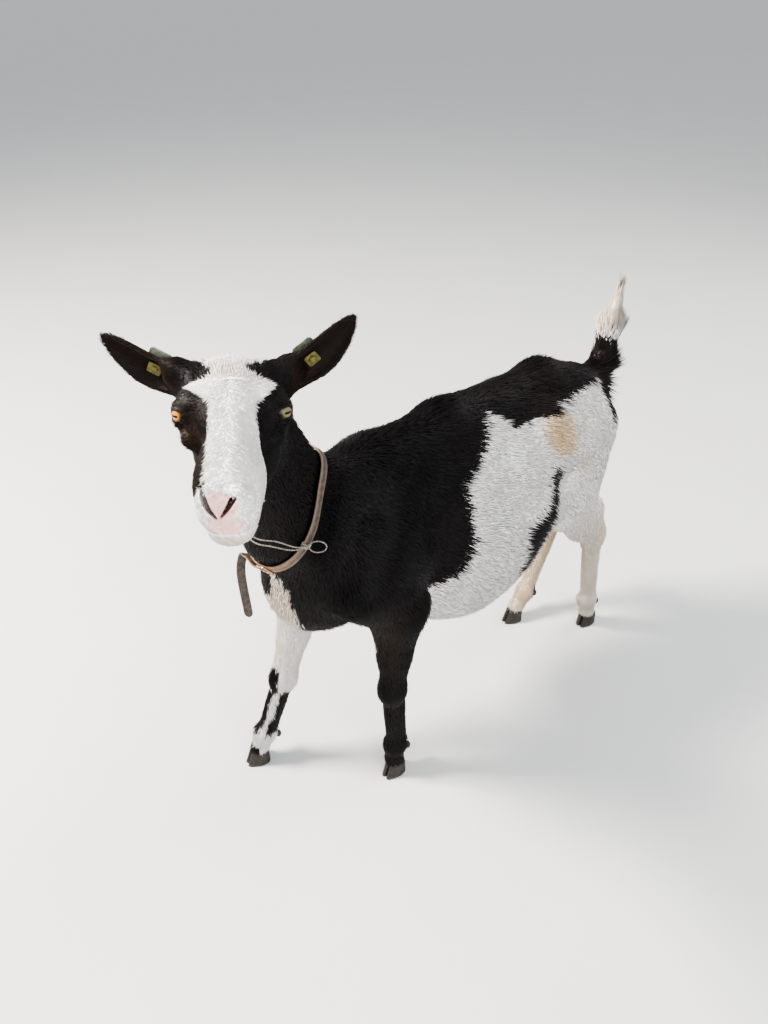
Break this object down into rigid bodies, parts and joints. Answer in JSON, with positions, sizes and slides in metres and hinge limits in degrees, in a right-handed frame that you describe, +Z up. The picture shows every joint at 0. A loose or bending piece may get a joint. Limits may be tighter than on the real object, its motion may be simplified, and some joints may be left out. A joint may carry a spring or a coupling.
{
  "type": "goat model",
  "caption": "Life-size still model of a standing dairy goat, head turned to its left and tail raised, with a worn leather collar, knotted twine and blank ear tags.",
  "frame": {"origin": "on the floor, in the middle of the model's outline seen from above", "axes": "+X to the goat's left, -Y where its chest faces, +Z up"},
  "size_m": [0.413, 1.0242, 0.9729],
  "materials": {
    "dark_coat": "short black goat hair with a soft sheen",
    "pale_coat": "short cream-white goat hair",
    "claw": "dark horn, scuffed",
    "iris": "wet amber eye with a level bar-shaped pupil",
    "strap": "weathered grey-brown leather",
    "buckle": "worn steel",
    "tag": "faded yellow plastic, blank",
    "twine": "pale straw-coloured twine"
  },
  "bodies": {
    "root": {"trunk": "dark_coat", "neck": "dark_coat", "head": "pale_coat", "tail": "dark_coat", "forearm_left": "dark_coat", "fore_shank_left": "dark_coat", "gaskin_left": "pale_coat", "hind_shank_left": "pale_coat", "forearm_right": "pale_coat", "fore_shank_right": "pale_coat", "gaskin_right": "pale_coat", "hind_shank_right": "pale_coat", "fore_claw_left_outer": "claw", "fore_dewclaw_left_outer": "claw", "fore_claw_left_inner": "claw", "fore_dewclaw_left_inner": "claw", "fore_claw_right_outer": "claw", "fore_dewclaw_right_outer": "claw", "fore_claw_right_inner": "claw", "fore_dewclaw_right_inner": "claw", "hind_claw_left_outer": "claw", "hind_dewclaw_left_outer": "claw", "hind_claw_left_inner": "claw", "hind_dewclaw_left_inner": "claw", "hind_claw_right_outer": "claw", "hind_dewclaw_right_outer": "claw", "hind_claw_right_inner": "claw", "hind_dewclaw_right_inner": "claw", "eye_left": "iris", "ear_left": "dark_coat", "ear_tag_left": "tag", "eye_right": "iris", "ear_right": "dark_coat", "ear_tag_right": "tag", "collar_strap": "strap", "collar_buckle": "buckle", "collar_strap_end": "strap", "twine": "twine"}
  },
  "joints": []
}
